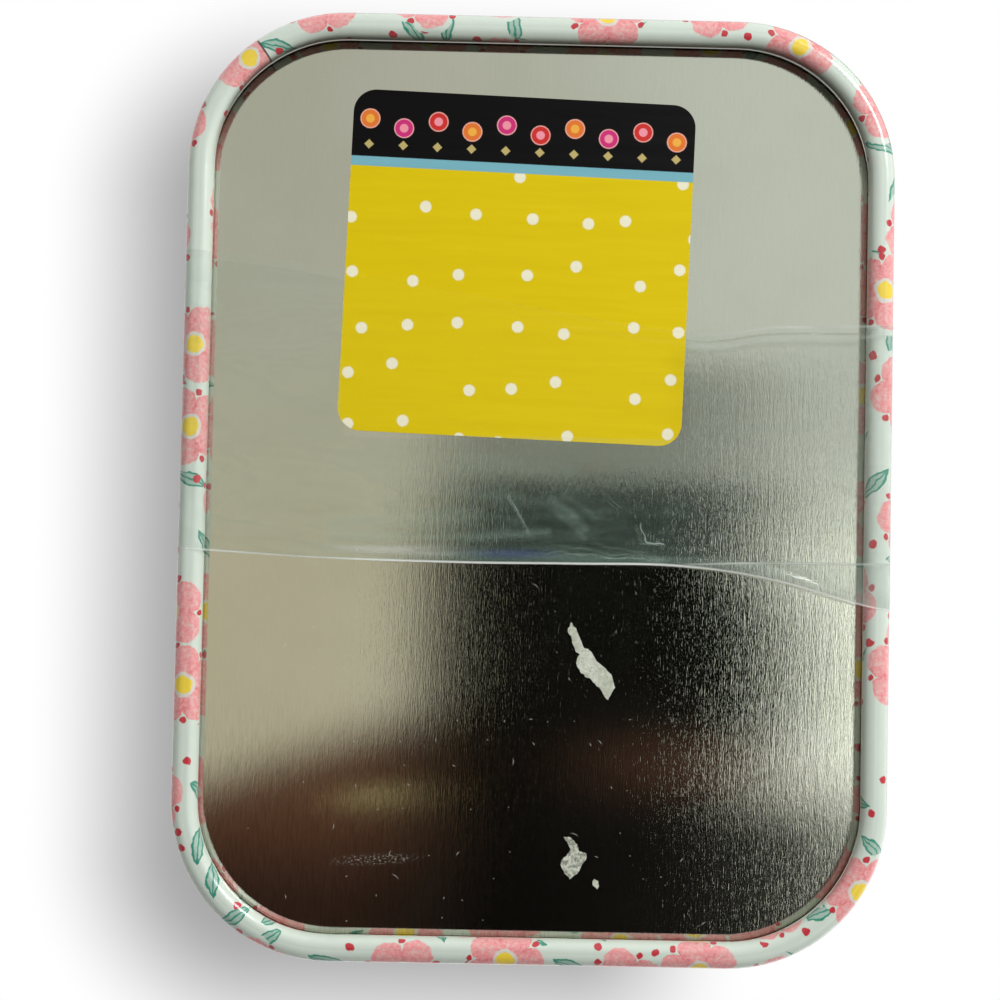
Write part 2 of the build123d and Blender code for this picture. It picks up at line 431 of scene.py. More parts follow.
def rolled_grain():
    """Rolling grain, specks and light scratches of bare tinplate, by a place in millimetres."""
    name = "rolled grain"
    if name in bpy.data.node_groups:
        return bpy.data.node_groups[name]
    inputs = [("Place", "NodeSocketVector"), ("Depth", "NodeSocketFloat")]
    outputs = [(label, "NodeSocketFloat") for label in ("Height", "Roughness", "Streak", "Speck", "Dirt")]
    tree, source, sink = new_group(name, inputs, outputs)
    place = Place(tree, source["Place"])
    fine = (place * (1.2, 10.0, 1.0)).noise(1.0, 2.0, 0.6)
    wide = (place * (0.2, 2.4, 1.0)).noise(1.0, 2.0)
    steep = (place * (1.1, 8.5, 2.0)).noise(1.0, 1.0).ramp(0.54, 0.66)
    height = wide * 0.9 + steep * 0.16 + fine
    feed(tree, height * source["Depth"], sink["Height"])
    feed(tree, fine * 0.03 + place.noise(0.09, 3.0) * 0.04, sink["Roughness"])
    thin = (place * (0.5, 5.0, 1.0)).noise(1.0, 2.0, 0.6)
    feed(tree, thin.ramp(0.35, 0.75), sink["Streak"])

    # Pale nicks, most of them short and some long and bent, and dark spots
    local, chance = (place + (13.0, 5.0, 0)).cells(2.4, 1.0)
    u, v = local.turned(chance[1] * 6.28).split()[:2]
    away = combine(u * (chance[2] * 0.8 + 0.11), u * u * 0.5 + v).length()
    feed(tree, away.ramp(0.02, 0.09, 1.0, 0.0) * (chance[0] > 0.74), sink["Speck"])
    local, chance = (place + (3.0, 35.0, 0)).cells(4.3, 1.0)
    away = (local * (0.6, 1.4, 1.0)).length()
    feed(tree, away.ramp(0.05, 0.15, 1.0, 0.0) * (chance[0] > 0.8), sink["Dirt"])
    return tree


def new_material(name):
    """An empty node material; returns it with its tree and its object coordinates in millimetres."""
    material = bpy.data.materials.new(name)
    material.use_nodes = True
    tree = material.node_tree
    tree.nodes.clear()
    metres = Place(tree, add(tree, "ShaderNodeTexCoord").outputs["Object"])
    return material, tree, metres * ((1 / MM,) * 3)


def shader(tree, kind, **inputs):
    """A shader node with its values; returns what it gives."""
    node = add(tree, kind)
    for label, value in inputs.items():
        feed(tree, value, node.inputs[label.replace("_", " ")])
    return node.outputs[0]


def show(tree, result):
    """Links a shader to the material's output."""
    feed(tree, result, add(tree, "ShaderNodeOutputMaterial").inputs["Surface"])


def surface(tree, **inputs):
    """A Principled shader with its values, as the material's surface."""
    show(tree, shader(tree, "ShaderNodeBsdfPrincipled", **inputs))


def mix_shaders(tree, factor, first, second):
    """Two shaders mixed by a factor."""
    node = add(tree, "ShaderNodeMixShader")
    for value, socket in zip((factor, first, second), node.inputs):
        feed(tree, value, socket)
    return node.outputs[0]


def light_path(tree, *names):
    """What the light path says of a ray, by names such as Camera for Is Camera Ray."""
    node = add(tree, "ShaderNodeLightPath")
    return [Value(tree, node.outputs[f"Is {name} Ray"]) for name in names]


def back_side(tree):
    """Whether a face is seen from behind."""
    return Value(tree, add(tree, "ShaderNodeNewGeometry").outputs["Backfacing"])


def outline_parts(place):
    """The parts of a place on the tin, how far past the straights it is, and how far inside the outline."""
    x, y, z = place.split()
    y = y - MIDDLE_Y
    flat_x = abs(x)
    flat_y = abs(y)
    past_x = larger(flat_x - HALF_X, 0.0)
    past_y = larger(flat_y - HALF_Y, 0.0)
    away = combine(past_x, past_y).length()
    return x, y, z, flat_x, flat_y, past_x, past_y, away, CORNER - away


def wall_place(place):
    """The place on the flat strip before it was bent round and rolled in, the dark seam line, and the
    painted shade in the rim's recess.
    """
    x, y, z, flat_x, flat_y, past_x, past_y, away, inside = outline_parts(place)
    turn = past_x.calc("ARCTAN2", past_y)
    quarter = HALF_X + CORNER * math.pi / 2 + HALF_Y
    near_x = smaller(flat_x, HALF_X)
    near_y = HALF_Y - smaller(flat_y, HALF_Y)
    run = turn * CORNER + near_x + near_y
    rear = y > 0.0
    left = x < 0.0
    back = 2 * quarter - run
    half = run + rear * (back - run)
    side = 1.0 - left * 2.0
    past_seam = (turn < SEAM_TURN) * (rear * left)
    round_it = past_seam * (4 * quarter) + half * side

    # Rolled rim: an outer quarter round, a flat crest and an inner quarter round
    first = smaller(inside, BEAD) / BEAD
    outer = (1.0 - larger(first, 0.0)).calc("ARCCOSINE")
    crest = smaller(larger(inside - BEAD, 0.0), BEAD_FLAT)
    inner = ((inside - (BEAD + BEAD_FLAT)) / BEAD).clamped().calc("ARCSINE")
    rolled = (outer + inner) * BEAD + crest
    up = z + (z < BEAD_MIDDLE_Z) * (BEAD_MIDDLE_Z - rolled - z)
    # Painted shade inside the rolled rim next to the base plate, strongest on the side that faces away from
    # the lamp below
    painted_recess_shade = z.ramp(BEAD_MIDDLE_Z - 1.0, BEAD_MIDDLE_Z - 0.15) * (inside > BEAD + BEAD_FLAT)
    painted_recess_shade = painted_recess_shade * x.ramp(-44.0, -30.0, 1.0, 0.25)
    hairline = abs(turn - SEAM_TURN).ramp(0.004, 0.009, 1.0, 0.0) * (rear * left)
    return combine(round_it, up), hairline, painted_recess_shade


def lid_place(place):
    """The place on the flat printed sheet before the lid's skirt was drawn down from it."""
    x, y, z, flat_x, flat_y, past_x, past_y, away, inside = outline_parts(place)
    share = larger(LID_SHOULDER_Z - z, 0.0) / larger(away, 1.0)
    return combine(x + past_x * x.calc("SIGN") * share, y + past_y * y.calc("SIGN") * share), None, None


def printed_material(name, mapping, shift):
    """Printed tinplate under clear lacquer, with its print laid by the given mapping."""
    settings = bpy.context.scene.tin_print
    material, tree, place = new_material(name)
    flat, hairline, painted_recess_shade = mapping(place)
    art = place_group(
        tree, sprig_print(), Place=flat + shift, Ground=settings.ground, Blossom=settings.blossom,
        Middle=settings.middle, Leaf=settings.leaf, Berry=settings.berry,
    )
    speck = place.noise(1.4, 4.0, 0.65).ramp(0.735, 0.76)
    colour = (speck * 0.55).mix(art["Color"], linear(96, 88, 80))
    if hairline:
        colour = (hairline * 0.85).mix(colour, linear(58, 54, 50))
    height = place.noise(2.2, 1.0) * 0.06 + place.noise(0.22, 2.0)
    rough = place.noise(0.8, 3.0) * 0.12 + 0.24
    coat = 0.6
    # Painted shade in the rim's recess: darker, rougher and without coat, so no highlight shows there
    if painted_recess_shade:
        colour = (painted_recess_shade * 0.8).mix(colour, linear(48, 46, 38))
        rough = painted_recess_shade * 0.5 + rough
        coat = 0.6 - painted_recess_shade * 0.6
    surface(
        tree, Base_Color=colour, Roughness=rough, Normal=height.bump(0.00004),
        Coat_Weight=coat, Coat_Roughness=0.10, Specular_IOR_Level=0.4,
    )
    return material


def tinplate_material(name, depth, scuffed=False, blur=0.0):
    """Bare tinplate with rolling grain along the tin's length."""
    settings = bpy.context.scene.tin_metal
    material, tree, place = new_material(name)
    if scuffed:
        down, left = place.split()[:2]
        calm = left.ramp(26.0, -30.0, 0.42 * depth, 1.2 * depth)
        corner = down.ramp(24.0, 38.0) * left.ramp(-8.0, -22.0)
        depth = corner * (0.4 * depth) + calm
    grain = place_group(tree, rolled_grain(), Place=place, Depth=depth)
    stain = place.noise(0.06, 4.0, 0.6).ramp(0.35, 0.75)
    base = tuple(settings.colour)
    dull = tuple(part * tint for part, tint in zip(settings.colour, (0.95, 0.95, 0.92)))
    colour = stain.mix(base, dull)
    dark = tuple(part * 0.6 for part in base)
    streak = down.ramp(20.0, 34.0, 0.04, 0.5) if scuffed else 0.04
    colour = (grain["Streak"] * streak).mix(colour, dark)
    colour = (grain["Dirt"] * 0.7).mix(colour, linear(70, 60, 50))
    nick = grain["Speck"] * 0.3
    if scuffed:
        nick = nick * down.ramp(-15.0, 25.0, 0.2, 1.0)
        nick = larger(nick, scuff(place))
    surface(
        tree, Base_Color=colour, Metallic=1.0 - nick,
        Roughness=grain["Roughness"] + (settings.roughness - 0.035 + blur),
        Normal=grain["Height"].bump(0.0000045),
    )
    return material


def scuff(place):
    """Mask of a short scuff near one corner of the base plate."""
    down, left = place.split()[:2]
    along = (left - 15.7) / 5.6
    spot = combine(along, (down - (along * 0.35 + 40.3)) / 0.75).length()
    rubbed = (place * (6.0, 3.4, 1.0)).noise(1.0, 4.0, 0.7).ramp(0.50, 0.68)
    return rubbed * spot.ramp(0.2, 1.1, 0.42, 0.0)


def set_material(obj, *materials):
    """Gives an object its materials, the first one everywhere."""
    obj.data.materials.clear()
    for material in materials:
        obj.data.materials.append(material)


def face_data(mesh):
    """Of a mesh's faces: middles, normals, how much they face outward, and distances inside the outline."""
    middles, normals = np.empty((2, len(mesh.polygons) * 3))
    mesh.polygons.foreach_get("center", middles)
    mesh.polygons.foreach_get("normal", normals)
    middles, normals = middles.reshape(-1, 3), normals.reshape(-1, 3)
    flat = middles[:, :2] / MM - (0, MIDDLE_Y)
    past = np.maximum(np.abs(flat) - (HALF_X, HALF_Y), 0) * np.sign(flat)
    away = np.maximum(np.hypot(*past.T), 1e-6)
    return middles, normals, (normals[:, :2] * past).sum(axis=1) / away, CORNER - away


def mark_inside(obj, picked):
    """Gives the picked faces the object's second material."""
    index = np.where(picked, 1, 0).astype(np.int32)
    obj.data.polygons.foreach_set("material_index", index)
    obj.data.update()


def select_only(obj):
    """Makes one object the selected and active one."""
    if bpy.context.object and bpy.context.object.mode != "OBJECT":
        bpy.ops.object.mode_set(mode="OBJECT")
    bpy.ops.object.select_all(action="DESELECT")
    obj.select_set(True)
    bpy.context.view_layer.objects.active = obj


def smooth(obj, degrees):
    """Smooth shading, with edges sharper than the angle kept crisp."""
    select_only(obj)
    bpy.ops.object.shade_smooth_by_angle(angle=math.radians(degrees))
    obj.select_set(False)


def inside_material():
    """The bare tinplate inside the tin, made once and used by three pieces."""
    name = "tinplate inside"
    return bpy.data.materials.get(name) or tinplate_material(name, 0.8, blur=0.18)


class TIN_OT_body(bpy.types.Operator):
    """Print the body wall outside and leave it bare inside"""

    bl_idname = "tin.body"
    bl_label = "Body wall"

    def execute(self, context):
        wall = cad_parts["body_wall"]
        printed = printed_material("printed wall", wall_place, (3.0, 1.0, 0.0))
        set_material(wall, printed, inside_material())
        middles, normals, facing, inside = face_data(wall.data)
        mark_inside(wall, (facing < -0.3) & (inside > 0.1) & (middles[:, 2] > WALL_INSIDE_FROM_Z * MM))
        smooth(wall, 34)
        return {"FINISHED"}


class TIN_OT_lid(bpy.types.Operator):
    """Print the lid outside and leave it bare inside"""

    bl_idname = "tin.lid"
    bl_label = "Lid"

    def execute(self, context):
        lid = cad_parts["lid"]
        printed = printed_material("printed lid", lid_place, (1.5, 4.0, 0.0))
        set_material(lid, printed, inside_material())
        middles, normals, facing, inside = face_data(lid.data)
        under = (normals[:, 2] < -0.3) & (middles[:, 2] > LID_INSIDE_FROM_Z * MM)
        mark_inside(lid, (under | (facing < -0.3)) & (inside > 0.1))
        smooth(lid, 34)
        return {"FINISHED"}


class TIN_OT_base(bpy.types.Operator):
    """Finish the bare base plate"""

    bl_idname = "tin.base"
    bl_label = "Base plate"

    def execute(self, context):
        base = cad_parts["base_plate"]
        under = tinplate_material("base tinplate", context.scene.tin_metal.grain, scuffed=True)
        set_material(base, under, inside_material())
        mark_inside(base, face_data(base.data)[1][:, 2] > 0.3)
        smooth(base, 50)
        return {"FINISHED"}


class TIN_OT_hinge(bpy.types.Operator):
    """Finish the hinge wire"""

    bl_idname = "tin.hinge"
    bl_label = "Hinge wire"

    def execute(self, context):
        material, tree, place = new_material("drawn wire")
        streak = (place * (0.3, 6.0, 6.0)).noise(1.0, 3.0)
        colour = streak.mix(linear(150, 150, 148), linear(190, 190, 186))
        surface(
            tree, Base_Color=colour, Metallic=1.0, Roughness=streak * 0.25 + 0.18,
            Normal=streak.bump(0.00001),
        )
        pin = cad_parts["hinge_pin"]
        set_material(pin, material)
        smooth(pin, 40)
        return {"FINISHED"}


# Sticker, in millimetres and an angle
STICKER_SIDE = 37.3
STICKER_TURN = math.radians(1.7)
MOTIF_PITCH = 3.72


def sticker_material():
    """Coated paper sticker: a dotted field under a dark band with a row of small motifs."""
    settings = bpy.context.scene.tin_sticker
    material, tree, place = new_material("sticker")
    low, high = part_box("label")
    middle = (low + high) / 2 / MM
    upright = (place - (middle.x, middle.y, 0.0)).turned(-STICKER_TURN)
    down, left = upright.split()[:2]
    below_top = down + STICKER_SIDE / 2

    # Scattered dots
    local = (upright + (71.5, 43.0, 0)).cells(5.9, 0.5)[0]
    away = place.noise(4.0, 2.0) * 0.12 + (local * (1.0, 1.0, 0.0)).length()
    dots = away.ramp(0.60, 0.78, 1.0, 0.0)
    ground = (place.noise(0.15, 2.0) * 0.12).mix(settings.ground, linear(200, 165, 0))
    colour = dots.mix(ground, settings.dot)

    # Band with a row of ringed discs and small diamonds
    from_left = -left + STICKER_SIDE / 2
    index = (from_left / MOTIF_PITCH).calc("FLOOR")
    along = from_left % MOTIF_PITCH - MOTIF_PITCH / 2
    away = combine(along, below_top - 3.2 - index % 2.0 * 0.9).length()
    disc = away.ramp(1.02, 1.14, 1.0, 0.0)
    ring = away.ramp(0.42, 0.52, 1.0, 0.0)
    third = index % 3.0
    tone = (third > 0.5).mix(linear(226, 120, 50), linear(205, 50, 120))
    tone = (third > 1.5).mix(tone, linear(205, 50, 45))
    eye = (third > 0.5).mix(linear(240, 175, 70), linear(240, 150, 165))
    tone = ring.mix(tone, eye)
    outline = away.ramp(0.93, 1.0) * 0.75
    tone = outline.mix(tone, linear(246, 190, 180))
    diamond = (abs(along) + abs(below_top - 6.0)).ramp(0.46, 0.58, 1.0, 0.0)
    band = disc.mix(settings.band, tone)
    band = diamond.mix(band, linear(190, 172, 110))
    colour = below_top.ramp(8.35, 8.45, 1.0, 0.0).mix(colour, settings.stripe)
    colour = below_top.ramp(7.3, 7.4, 1.0, 0.0).mix(colour, band)
    creases = (place * (0.5, 0.06, 1.0)).noise(1.0, 2.0)
    fibres = place.noise(9.0, 3.0)
    height = fibres * 0.05 + creases
    surface(
        tree, Base_Color=colour, Roughness=fibres * 0.15 + 0.34, Normal=height.bump(0.00012),
        Specular_IOR_Level=0.08,
    )
    return material


class TIN_OT_sticker(bpy.types.Operator):
    """Finish the sticker"""

    bl_idname = "tin.sticker"
    bl_label = "Sticker"

    def execute(self, context):
        set_material(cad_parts["label"], sticker_material())
        return {"FINISHED"}


# Film, in millimetres: where its lower edge, its upper edge and the fold cross the base
FILM_LINES = (
    ((37.33, 7.5), (22.2, 8.15), (6.6, 8.35), (-5.0, 8.25), (-16.2, 8.25), (-26.0, 9.5), (-38.87, 12.6)),
    ((37.33, -24.6), (20.1, -22.4), (-16.9, -16.9), (-26.5, -17.7), (-38.87, -18.0)),
    ((-14.0, 8.1), (-24.7, 7.7), (-38.87, 7.6)),
)
FILM_CLEAR = 0.03
FILM_WRAP = 6.0
FILM_STEPS = 150
FILM_COLUMNS = 160

# The film's UV maps, one for each line that they measure from, and the millimetres that they span
FILM_MAPS = ("from lower edge", "from upper edge", "from fold")
UV_SPAN = 100.0


def between(points, at):
    """A smooth line through points whose first value falls, read at a place."""
    xs, ys = np.array(points)[::-1].T
    i = int(np.clip(np.searchsorted(xs, at) - 1, 0, len(xs) - 2))
    share = min(max((at - xs[i]) / (xs[i + 1] - xs[i]), 0.0), 1.0)
    slope = (ys[i + 1] - ys[max(i - 1, 0)]) / 2
    next_slope = (ys[min(i + 2, len(ys) - 1)] - ys[i]) / 2
    a, b = share ** 2, share ** 3
    middle = (2 * b - 3 * a + 1) * ys[i] + (3 * a - 2 * b) * ys[i + 1]
    return middle + (b - 2 * a + share) * slope + (b - a) * next_slope


def film_path():
    """Places across the tin that the film follows: up one wall, over the rims and up the other wall."""
    front = MIDDLE_Y - WIDTH / 2
    rear = MIDDLE_Y + WIDTH / 2
    start = rear - BEAD
    end = front + BEAD
    reach = BEAD + FILM_CLEAR
    rise = FILM_WRAP - BEAD
    bends = [math.radians(90 * i / 8) for i in range(9)]
    points = [(rear + FILM_CLEAR, FILM_WRAP + FILM_CLEAR - rise * i / 9) for i in range(9)]
    points += [(start + reach * math.cos(a), BEAD_MIDDLE_Z - reach * math.sin(a)) for a in bends]
    points += [(start + (end - start) * i / FILM_STEPS, 0.0) for i in range(1, FILM_STEPS)]
    points += [(end - reach * math.cos(a), BEAD_MIDDLE_Z - reach * math.sin(a)) for a in reversed(bends)]
    points += [(front - FILM_CLEAR, BEAD_MIDDLE_Z + rise * i / 9) for i in range(1, 10)]
    return points


class TIN_OT_film(bpy.types.Operator):
    """Make the clear film with its wrinkles"""

    bl_idname = "tin.film"
    bl_label = "Clear film"

    def execute(self, context):
        path = film_path()
        rows = len(path)
        bpy.ops.object.select_all(action="DESELECT")
        bpy.ops.mesh.primitive_grid_add(x_subdivisions=rows - 1, y_subdivisions=FILM_COLUMNS, size=1)
        film = context.object
        film.name = "film_band"
        mesh = film.data
        grid = np.empty(len(mesh.vertices) * 3)
        mesh.vertices.foreach_get("co", grid)
        grid = grid.reshape(-1, 3)
        row = np.rint((grid[:, 0] + 0.5) * (rows - 1)).astype(int)
        y, z = (np.array([point[i] for point in path])[row] for i in range(2))
        low, high, fold = (
            np.array([between(line, point[0]) for point in path])[row] for line in FILM_LINES
        )
        x = low + (high - low) * (grid[:, 1] + 0.5)
        rear = MIDDLE_Y + WIDTH / 2 - 2 * BEAD - BEAD_FLAT
        front = MIDDLE_Y - WIDTH / 2 + 2 * BEAD + BEAD_FLAT
        span = np.clip(np.minimum(rear - y, y - front) / 6, 0, 1)
        slack = span * span * (3 - 2 * span)
        z = z + slack * film_height(x, y, low - x, context.scene.tin_film.wrinkle / MM)
        mesh.vertices.foreach_set("co", (np.stack([x, y, z], axis=1) * MM).ravel())
        corner = np.empty(len(mesh.loops), dtype=np.int32)
        mesh.loops.foreach_get("vertex_index", corner)
        while mesh.uv_layers:
            mesh.uv_layers.remove(mesh.uv_layers[0])
        for name, away in zip(FILM_MAPS, (low - x, x - high, fold - x)):
            places = np.stack([y / UV_SPAN + 0.5, away / UV_SPAN], axis=1)[corner]
            mesh.uv_layers.new(name=name).data.foreach_set("uv", places.ravel())
        mesh.update()
        set_material(film, film_material())
        smooth(film, 60)
        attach(film, "body")
        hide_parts("clear_film")
        return {"FINISHED"}


# Long wrinkles of the film: distances from the lower edge at the rear and front, width, height, start, end
WRINKLES = (
    (0.9, 1.2, 0.35, 1.0, 34.0, -34.0),
    (2.3, 1.9, 0.5, -0.8, 30.0, -20.0),
    (2.2, 4.6, 0.55, 0.9, 16.0, -34.0),
    (4.2, 6.8, 0.8, 0.7, 33.0, -14.0),
    (6.5, 9.0, 0.9, -0.6, 10.0, -30.0),
    (11.5, 8.0, 1.1, 0.7, 33.0, 2.0),
    (17.0, 15.0, 1.4, 0.6, 30.0, -6.0),
    (24.5, 24.0, 0.9, 0.8, -10.0, -34.0),
    (29.6, 28.2, 0.6, 0.9, 33.0, -33.0),
)


def film_height(x, y, from_edge, size):
    """How far the film's wrinkles lift it off its taut plane."""
    total = 1.2 + 0.25 * np.sin(x * 0.31 + y * 0.05) + 0.2 * np.sin(x * 0.12 - y * 0.17)
    for rear, front, width, height, start, end in WRINKLES:
        at = rear + (front - rear) * (36.0 - y) / 72.0 + 0.35 * np.sin(y * 0.23 + rear)
        fade = np.clip((y - end) * (start - y) / 90.0, 0, 1)
        total += height * fade * np.exp(-(((from_edge - at) / width) ** 2))
    curl = np.exp(-((np.maximum(from_edge, 0) / 0.35) ** 2))
    return size * np.maximum(total, 0) + 0.16 * curl


# Creases of the film and broad strokes of painted sheen, in millimetres down and left: start, end, width,
# how white
CREASES_AND_SHEEN = (
    ((1.1, 2.1), (5.0, -0.1), 0.13, 0.30),
    ((3.9, -11.9), (6.0, -12.6), 0.14, 0.34),
    ((6.0, -12.6), (5.7, -14.4), 0.20, 0.36),
    ((1.1, -8.6), (2.2, -9.9), 0.12, 0.22),
    ((1.3, -2.6), (4.4, -6.2), 0.70, 0.11),
    ((2.4, -2.9), (5.4, -6.2), 0.45, 0.09),
    ((0.9, -3.8), (3.2, -7.6), 0.40, 0.07),
    ((-2.6, 7.5), (-1.4, -4.5), 1.5, 0.06),
    ((0.4, 9.0), (1.9, -3.0), 1.2, 0.05),
    ((6.9, -2.2), (7.8, -14.9), 0.12, 0.22),
    ((6.3, -3.5), (7.6, -14.6), 0.10, 0.16),
    ((5.9, -7.0), (7.5, -15.0), 0.14, 0.12),
    ((4.6, 20.5), (3.2, 6.0), 1.5, 0.07),
    ((5.9, 21.0), (4.9, -2.0), 0.9, 0.08),
)


def stroke(place, start, end, width, weight):
    """Mask of a soft straight stroke from start to end."""
    ahead = Vector((end[0] - start[0], end[1] - start[1], 0.0))
    offset = place - (*start, 0.0)
    share = larger(smaller(offset.dot(tuple(ahead / ahead.length_squared)), 1.0), 0.0)
    away = (offset - combine(share * ahead.x, share * ahead.y)).length()
    return away.ramp(0.0, width, weight, 0.0)


def film_material():
    """Thin clear film: glossy and a little milky, its milkiness also standing in as a painted reflection of
    the pale room, with painted highlights along its cut edges and folds.
    """
    settings = bpy.context.scene.tin_film
    material, tree, place = new_material("clear film")
    down, left = place.split()[:2]
    right = -left
    low, high, fold = (
        Place(tree, add(tree, "ShaderNodeUVMap", uv_map=name).outputs["UV"]).split()[1] * UV_SPAN
        for name in FILM_MAPS
    )

    # Painted highlights along the cut edges and the level fold at the right, and a painted reflection of
    # the upper edge just beside it
    cut = low.ramp(0.10, 0.34, 1.0, 0.0)
    top_edge = high.ramp(0.10, 0.45, 1.0, 0.0) * right.ramp(-20.0, 12.0, 0.10, 0.32)
    second = abs(high - 1.25).ramp(0.1, 0.5, 1.0, 0.0) * right.ramp(-20.0, 12.0, 0.04, 0.22)
    reach = right.ramp(13.0, 18.0)
    level = abs(fold).ramp(0.06, 0.22, 1.0, 0.0) * reach
    lines = larger(top_edge, second, level * 0.4)

    # Soft bands and smudges of the slack film, partly a painted reflection of the room, and doubled film
    # below the fold
    drift = (place * (0.16, 0.035, 1.0)).noise(1.0, 3.0, 0.55)
    bands = (drift * 7.0).calc("FRACT")
    bands = bands * bands
    smudge = (place * (0.5, 0.16, 1.0)).noise(1.0, 4.0, 0.65).ramp(0.50, 0.78)
    doubled = fold.ramp(-0.1, 0.1, 1.0, 0.0) * reach
    gathered = low.ramp(0.5, 2.4, 1.0, 0.0) * right.ramp(-13.0, -4.0)

    # Creases, short crisp ones, and broad pale strokes that are painted sheen
    shaken = place.shake(0.5) * (1.1, 1.1, 0.0) + combine(down, left)
    crease_and_sheen = larger(*(stroke(shaken, *line) for line in CREASES_AND_SHEEN))

    # A white and a blue glint beside the lower edge
    beside = abs(drift * 1.2 + low - 1.8).ramp(0.1, 0.85, 1.0, 0.0)
    white = right.ramp(-26.0, -16.0) * right.ramp(-5.0, -14.0) * beside
    blue = right.ramp(-10.0, -2.0) * right.ramp(6.0, -1.0) * beside

    # The film clings to the sticker and all but vanishes there
    start, end = (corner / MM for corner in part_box("label"))
    covered = down.ramp(start.x + 0.4, start.x + 0.6) * down.ramp(end.x - 0.4, end.x - 0.6)
    covered = covered * left.ramp(start.y + 0.4, start.y + 0.6) * left.ramp(end.y - 0.4, end.y - 0.6)
    bare = 1.0 - covered * 0.92
    lines = lines * bare

    alpha = (bands * 0.45 + smudge * 0.5 + 0.85) * settings.haze * bare + crease_and_sheen
    alpha = alpha + doubled * 0.10 + gathered * 0.12 + white * 0.26 + blue * 0.13
    ends = abs(right).ramp(12.0, 24.0, 0.85, 0.5)
    alpha = larger(alpha, lines, cut * ends).clamped()
    # White for the painted highlights of edges, fold, glint and sheen, and for the whitened creases
    bright = larger(cut, lines, white, crease_and_sheen)
    colour = right.ramp(12.0, 24.0).mix(linear(152, 184, 170), linear(172, 186, 176))
    colour = bright.mix(colour, linear(240, 243, 238))
    colour = blue.mix(colour, linear(96, 116, 150))
    surface(
        tree, Base_Color=colour, Roughness=0.12, Alpha=alpha, Normal=drift.bump(0.00025),
        Specular_IOR_Level=0.5,
    )
    return material


# Paper remnants on the base plate: outlines in millimetres
SCRAP_LONG = (
    (14.5, -4.9), (15.3, -5.5), (16.4, -6.0), (17.2, -6.4), (17.6, -7.2), (18.7, -7.8), (19.3, -8.7),
    (20.2, -9.4), (21.4, -9.8), (22.8, -9.0), (21.7, -8.3), (20.7, -7.3), (20.2, -6.5), (19.8, -6.0),
    (18.9, -5.5), (18.0, -5.8), (17.2, -5.3), (16.4, -5.1), (15.4, -4.6),
)
SCRAP_ROUND = (
    (37.6, -4.6), (37.5, -5.2), (38.0, -5.8), (38.4, -6.1), (39.0, -6.3), (39.3, -7.1), (39.9, -7.0),
    (40.6, -6.5), (41.1, -6.3), (41.6, -5.8), (42.0, -5.3), (41.4, -4.8), (40.6, -4.3), (40.0, -4.3),
    (39.5, -4.9), (38.9, -5.4), (38.2, -5.0),
)
SCRAP_CRUMB = ((42.2, -7.7), (42.0, -8.0), (42.2, -8.4), (42.7, -8.4), (43.0, -8.2), (42.6, -7.8))
PAPER_SHEET = 0.1
TEAR_SEED = 7


def paper_material(name, patchy):
    """Torn pale paper with grey fibres, rubbed thin in patches."""
    material, tree, place = new_material(name)
    fibre = place.noise(3.0, 4.0, 0.7)
    worn = place.noise(1.1, 3.0).ramp(0.35, 0.65)
    colour = worn.mix(linear(188, 192, 172), linear(212, 216, 200))
    colour = fibre.ramp(0.56, 0.72).mix(colour, linear(150, 154, 136))
    thin = place.noise(2.6, 3.0, 0.6).ramp(0.40, 0.62) * patchy
    colour = thin.mix(colour, linear(34, 36, 28))
    surface(tree, Base_Color=colour, Roughness=0.9, Normal=fibre.bump(0.0001))
    return material


def paper_scrap(name, outline, material):
    """A torn bit of paper stuck flat on the base plate."""
    bpy.ops.object.select_all(action="DESELECT")
    bpy.ops.mesh.primitive_circle_add(vertices=len(outline), radius=1, fill_type="NGON")
    scrap = bpy.context.object
    scrap.name = name
    for vertex, (x, y) in zip(scrap.data.vertices, outline):
        vertex.co = (x * MM, y * MM, 0)
    bpy.ops.object.mode_set(mode="EDIT")
    bpy.ops.mesh.select_all(action="SELECT")
    bpy.ops.mesh.subdivide(number_cuts=6)
    bpy.ops.object.mode_set(mode="OBJECT")
    for vertex in scrap.data.vertices:
        tear = noise_vector(vertex.co / (0.35 * MM)) * 0.12 * MM
        tear += noise_vector(vertex.co / (0.11 * MM)) * 0.07 * MM
        vertex.co = (vertex.co.x + tear.x, vertex.co.y + tear.y, (PANEL_Z - PAPER_SHEET - 0.01) * MM)
    bpy.ops.object.mode_set(mode="EDIT")
    bpy.ops.mesh.select_all(action="SELECT")
    bpy.ops.mesh.quads_convert_to_tris()
    bpy.ops.mesh.normals_make_consistent(inside=False)
    bpy.ops.mesh.extrude_region_move(TRANSFORM_OT_translate={"value": (0, 0, PAPER_SHEET * MM)})
    bpy.ops.mesh.select_all(action="SELECT")
    bpy.ops.mesh.normals_make_consistent(inside=False)
    bpy.ops.object.mode_set(mode="OBJECT")
    set_material(scrap, material)
    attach(scrap, "body")


class TIN_OT_paper(bpy.types.Operator):
    """Stick the torn paper remnants on the base plate"""

    bl_idname = "tin.paper"
    bl_label = "Paper remnants"

    def execute(self, context):
        seed_set(TEAR_SEED)
        whole = paper_material("torn paper", 0.12)
        thin = paper_material("thin torn paper", 0.6)
        paper_scrap("paper_long", SCRAP_LONG, whole)
        paper_scrap("paper_round", SCRAP_ROUND, thin)
        paper_scrap("paper_crumb", SCRAP_CRUMB, whole)
        return {"FINISHED"}


def stage_plane(name, size, height):
    """A square stage plane at a height."""
    bpy.ops.object.select_all(action="DESELECT")
    bpy.ops.mesh.primitive_plane_add(size=size, location=(0, 0, height))
    plane = bpy.context.object
    plane.name = name
    bpy.ops.object.transform_apply(location=True, rotation=True, scale=True)
    return plane


